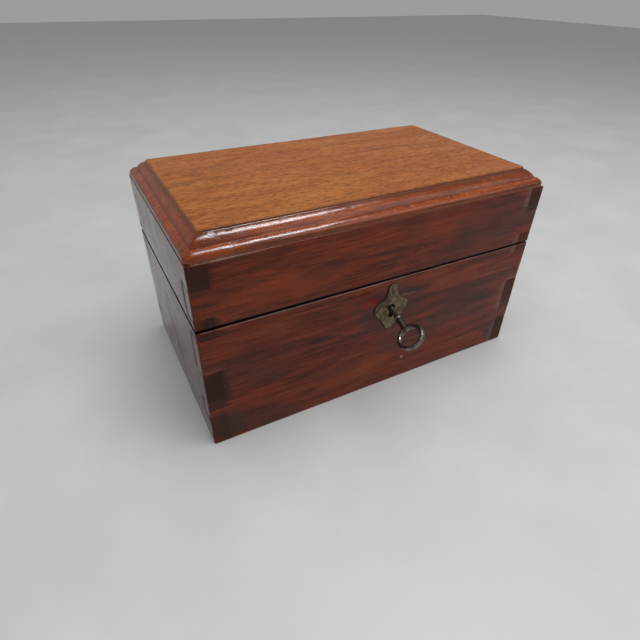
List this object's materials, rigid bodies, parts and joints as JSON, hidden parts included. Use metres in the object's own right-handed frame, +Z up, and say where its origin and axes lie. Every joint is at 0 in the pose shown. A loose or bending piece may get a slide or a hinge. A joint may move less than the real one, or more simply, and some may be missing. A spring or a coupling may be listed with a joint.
{
  "type": "tea caddy",
  "caption": "Rectangular dovetailed wooden tea caddy with a hinged lid with a moulded top, lidded foil-lined compartments, and a key in its front lock.",
  "frame": {"origin": "middle of the underside of the carcass, on the surface that the caddy stands on", "axes": "+X along the longest side, to the right of a person facing the lock; -Y out of the front face, where the lock is; +Z up"},
  "size_m": [0.205, 0.1578, 0.118],
  "materials": {
    "mahogany": "french polished, worn",
    "top_mahogany": "french polished, faded",
    "inner_wood": "dull wax",
    "base_wood": "bare",
    "knob_wood": "turned and waxed",
    "foil": "dull",
    "lining_cloth": "velvet",
    "lock_brass": "satin, tarnished",
    "hinge_brass": "satin",
    "old_brass": "dark tarnish",
    "steel": "worn"
  },
  "bodies": {
    "caddy_body": {"body_front_board": "mahogany", "body_back_board": "mahogany", "body_left_board": "mahogany", "body_right_board": "mahogany", "bottom_board": "base_wood", "bottom_brads": "steel", "centre_divider": "inner_wood", "front_liner": "inner_wood", "back_liner": "inner_wood", "left_liner": "inner_wood", "right_liner": "inner_wood", "left_foil_lining": "foil", "right_foil_lining": "foil", "lock_case": "lock_brass", "lock_back_plate": "lock_brass", "lock_cap_plate": "lock_brass", "lock_screws": "steel", "escutcheon": "old_brass", "escutcheon_pins": "old_brass", "left_hinge_body_leaf": "hinge_brass", "right_hinge_body_leaf": "hinge_brass", "left_hinge_pin": "steel", "right_hinge_pin": "steel", "hinge_body_screws": "steel"},
    "lid": {"lid_front_board": "mahogany", "lid_back_board": "mahogany", "lid_left_board": "mahogany", "lid_right_board": "mahogany", "lid_top_board": "top_mahogany", "lid_lining_panel": "lining_cloth", "left_hinge_lid_leaf": "hinge_brass", "right_hinge_lid_leaf": "hinge_brass", "hinge_lid_screws": "steel", "strike_plate": "lock_brass", "strike_plate_screws": "steel"},
    "key": {"key": "steel"},
    "bolt": {"lock_bolt": "steel", "bolt_spring": "steel"},
    "left_inner_lid": {"left_inner_lid": "inner_wood", "left_inner_knob": "knob_wood"},
    "right_inner_lid": {"right_inner_lid": "inner_wood", "right_inner_knob": "knob_wood"}
  },
  "joints": [
    {"name": "lid_hinge", "type": "hinge", "parent": "caddy_body", "child": "lid", "pos_m": [0, 0.062, 0.0745], "axis": [-1, 0, 0], "range_deg": [0, 100]},
    {"name": "key_turn", "type": "hinge", "parent": "caddy_body", "child": "key", "pos_m": [0.0038, -0.0598, 0.056], "axis": [0.1939, 0.9794, 0.0558], "range_deg": [-48.05, 150.05]},
    {"name": "bolt_slide", "type": "slide", "parent": "caddy_body", "child": "bolt", "axis": [1, 0, 0], "range_m": [-0.00192, 0.006]},
    {"name": "left_inner_lid_lift", "type": "slide", "parent": "caddy_body", "child": "left_inner_lid", "axis": [0, 0, 1], "range_m": [0, 0.022]},
    {"name": "right_inner_lid_lift", "type": "slide", "parent": "caddy_body", "child": "right_inner_lid", "axis": [0, 0, 1], "range_m": [0, 0.022]}
  ],
  "couplings": [
    {"joint": "key_turn", "follows": "bolt_slide", "rad_per_m": 436.33}
  ]
}
